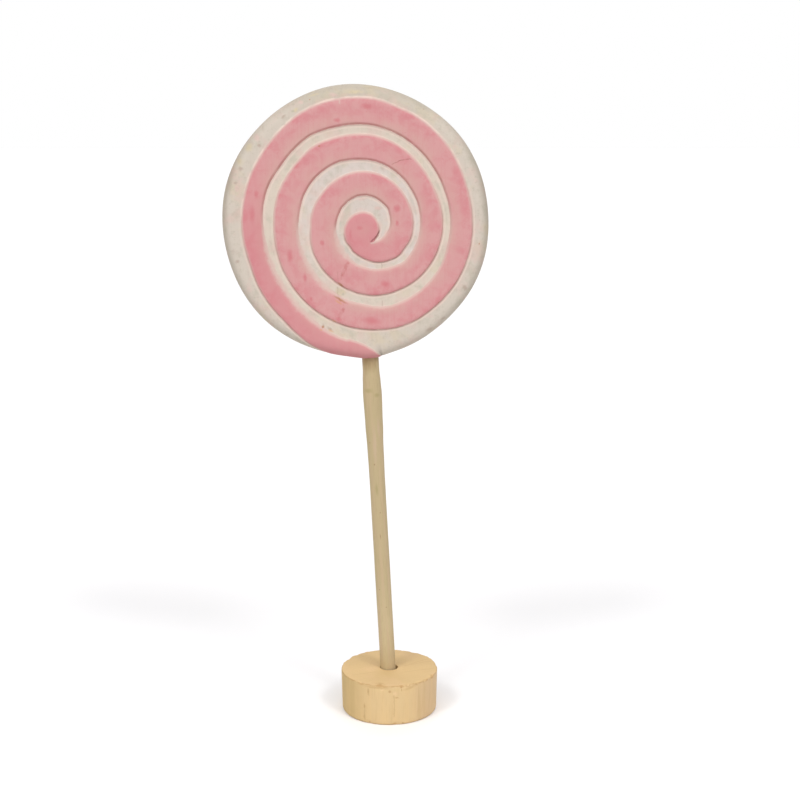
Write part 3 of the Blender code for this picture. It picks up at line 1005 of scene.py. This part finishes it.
# marks on the base's front: (x, z, width, height, turn)
baseMarks = {
    "dark": (
        (6.2, 20.6, 1.5, 2.0, 0), (6.4, 19.0, 0.9, 2.0, 0), (0.2, 18.4, 2.2, 2.2, 0),
        (4.0, 14.8, 3.4, 0.9, 0), (-12.4, 9.4, 1.4, 5.2, 0), (-12.6, 3.6, 1.2, 5.4, 0),
        (-9.8, 0.9, 1.8, 1.6, 0), (2.6, 0.9, 3.4, 1.4, 0), (6.8, 0.9, 1.6, 1.4, 0),
        (-10.5, 17.5, 1.0, 4.0, 0), (-4.5, 21.3, 7.0, 1.0, 0), (-17.6, 20.6, 3, 1.4, 20),
    ),
    "pale": (
        (9.7, 20.9, 2.0, 1.2, 0), (15.0, 20.6, 2.6, 1.6, -20), (13.2, 21.0, 1.2, 1.0, 0),
        (-3.4, 19.2, 3.0, 1.6, 0), (3.0, 17.2, 3.4, 3.6, 0),
    ),
    "shaded": ((-7.0, 20.4, 22.0, 2.6, 0), (11.5, 19.8, 12.0, 2.4, -14), (-16.5, 12.0, 9.0, 16.0, 0)),
}

# lines on the base: (x, z, length, turn, bow) on its front and (x, y, length, turn, bow) on its top
frontLines = ((-12.5, 5.6, 9.6, 88, 0.2), (-10.4, 17.4, 5.0, 90, 0.1), (2.4, 10.5, 13.0, 90, 0.2))
topLines = ((16.0, 5.2, 19.7, -25, 0.2), (16.1, 7.9, 13.5, -38, 0.2), (15.9, -4.4, 17.5, -18, 0.3),
            (-13.0, -9.0, 14.0, -20, 0.3))


def baseSide(tree, x, streaks, patches):
    # palest at the front and darker towards both sides, partly painted shade where the side turns from the
    # lamps; tan on the left and pinker on the right, with faint upright grain
    wavy = linearOf(tree, patches, 0.008, calculate(tree, "SUBTRACT", x, 0.004))
    side = mixColour(tree, rangeOf(tree, wavy, -0.024, -0.007), baseTones["left"], baseTones["front"])
    side = mixColour(tree, rangeOf(tree, wavy, 0.008, 0.022), side, baseTones["right"])
    side = mixColour(tree, rangeOf(tree, streaks, 0.42, 0.68, 0.0, 0.4), side, baseTones["paleStreak"])
    return mixColour(tree, rangeOf(tree, streaks, 0.46, 0.30, 0.0, 0.4), side, baseTones["darkStreak"])


def baseTop(tree, coords, saw, patches):
    # sawn end grain, with faint rings about the pole's heart and saw lines
    heart = combined(tree, "SUBTRACT", coords, (0.006, 0.004, base["height"] * mm))
    settings = {"Scale": 170, "Distortion": 2.2, "Detail": 2.0, "Detail Scale": 1.5}
    rings = addNode(tree, "TexWave", {"Vector": placed(tree, heart, scale=(1, 1, 0)), **settings},
                    wave_type="RINGS", rings_direction="Z").outputs["Fac"]
    top = mixColour(tree, times(tree, rings, 0.35), baseTones["top"], baseTones["ring"])
    top = mixColour(tree, rangeOf(tree, saw, 0.5, 0.72, 0.0, 0.4), top, baseTones["sawLine"])
    return mixColour(tree, rangeOf(tree, patches, 0.45, 0.65, 0.0, 0.4), top, baseTones["topPinkish"])


def baseWood():
    material, tree, shader = startMaterial("base_wood", 0.62, 0.28)
    coords = addNode(tree, "TexCoord").outputs["Object"]
    x, y, height = separated(tree, coords)
    streaks = cloud(tree, placed(tree, coords, scale=(240, 240, 16)), 1, 4.0, 0.6)
    pores = cloud(tree, placed(tree, coords, scale=(2200, 2200, 80)), 1, 3.0, 0.6)
    patches = cloud(tree, coords, 75, 3.0, 0.5)
    turned = placed(tree, coords, rotation=(0, 0, radians(-24)))
    saw = cloud(tree, placed(tree, turned, scale=(90, 1500, 90)), 1, 3.0)
    upwards = separated(tree, addNode(tree, "NewGeometry").outputs["Normal"])[2]
    colour = mixColour(tree, rangeOf(tree, upwards, 0.35, 0.75), baseSide(tree, x, streaks, patches),
                       baseTop(tree, coords, saw, patches))

    # a dark broken line along the rounded edges, open pores, scratches and marks
    edgeLine = times(tree, rangeOf(tree, upwards, 0.05, 0.3), rangeOf(tree, upwards, 0.95, 0.6))
    broken = rangeOf(tree, cloud(tree, coords, 500, 3.0), 0.3, 0.6, 0.0, 0.6)
    colour = mixColour(tree, times(tree, edgeLine, broken), colour, baseTones["edgeLine"])
    colour = mixColour(tree, rangeOf(tree, pores, 0.52, 0.76, 0.0, 0.25), colour, baseTones["pore"])
    ragged = shaken(tree, coords, 500, 1.4)
    aboveTop = calculate(tree, "SUBTRACT", height, base["height"] * mm)
    onTop = addNode(tree, "CombineXYZ", {0: x, 1: aboveTop, 2: y}).outputs[0]
    frontLine = cracks(tree, ragged, frontLines, 0.5, front=-23)
    topLine = cracks(tree, onTop, topLines, 0.35, front=0)
    for line in (frontLine, topLine):
        colour = tint(tree, colour, line, 0.4, baseTones["scratch"])
    for name in ("shaded", "pale", "dark"):
        mark = spots(tree, ragged, baseMarks[name], 0.9, front=-24)
        colour = tint(tree, colour, mark, 0.6, baseTones[name + "Mark"])
    feed(tree, shader.inputs["Base Color"], colour)
    relief = calculate(tree, "ADD", pores, times(tree, saw, 0.7))
    finishSurface(tree, shader, relief, 0.2, patches, (0.55, 0.7))
    return material


basePiece = makeBase(baseWood())
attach(basePiece, "root")
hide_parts("base")
print("Stage 4: base made")

# Studio: floor, lights and camera

studio = {
    "floorSize": 30.0,
    "skyStrength": 0.24,
    "cameraPlace": (0.00552, -0.6858, 0.300),
    "cameraTilt": 11.27,
    "lens": 62.82,
    "sensorWidth": 36,
    # degrees to the right of the front, degrees up, strength and width in degrees
    # the keys are narrower lamps amid the soft ones, for the shadows beside the stick
    "lamps": {
        "left_lamp": (-40, 50, 1.04, 55.0),
        "right_lamp": (40, 50, 1.01, 55.0),
        "left_key": (-40, 50, 0.48, 12.0),
        "right_key": (40, 50, 0.48, 12.0),
        "back_lamp": (180, 50, 0.7, 55.0),
    },
}


def makeFloor():
    shape = bmesh.new()
    bmesh.ops.create_grid(shape, x_segments=1, y_segments=1, size=studio["floorSize"] / 2)
    material, tree, shader = startMaterial("pale_floor", 0.9, 0.1)
    coords = addNode(tree, "TexCoord").outputs["Object"]
    tone = mixColour(tree, cloud(tree, coords, 3, 2.0), shade(248, 247, 248), shade(250, 249, 250))
    feed(tree, shader.inputs["Base Color"], tone)
    floor = finishPiece("studio_floor", shape, material, smooth=False)


def addLamp(name, azimuth, elevation, strength, width):
    light = bpy.data.lights.new(name, "SUN")
    light.energy = strength
    light.angle = radians(width)
    lamp = addObject(name, light)
    turn, up = radians(azimuth), radians(elevation)
    towards = Vector((sin(turn) * cos(up), -cos(turn) * cos(up), sin(up)))
    lamp.location = towards * 2
    lamp.rotation_euler = towards.to_track_quat("Z", "Y").to_euler()


def makeSky():
    # white to look at, and dimmer as a light, so that the carving keeps its shadows
    world = bpy.data.worlds.new("studio_sky")
    world.use_nodes = True
    tree = world.node_tree
    background = tree.nodes["Background"]
    background.inputs["Color"].default_value = (1, 1, 1, 1)
    seen = addNode(tree, "LightPath").outputs["Is Camera Ray"]
    feed(tree, background.inputs["Strength"], rangeOf(tree, seen, 0.0, 1.0, studio["skyStrength"], 1.0))
    bpy.context.scene.world = world


def makeStudio():
    makeFloor()
    makeSky()
    for name, settings in studio["lamps"].items():
        addLamp(name, *settings)
    camera = bpy.data.cameras.new("camera")
    camera.lens = studio["lens"]
    camera.sensor_width = studio["sensorWidth"]
    holder = addObject("camera", camera)
    holder.location = studio["cameraPlace"]
    holder.rotation_euler = (radians(90 - studio["cameraTilt"]), 0, 0)
    bpy.context.scene.camera = holder
    bpy.context.scene.view_settings.view_transform = "Standard"


makeStudio()
print("Stage 5: studio lit")
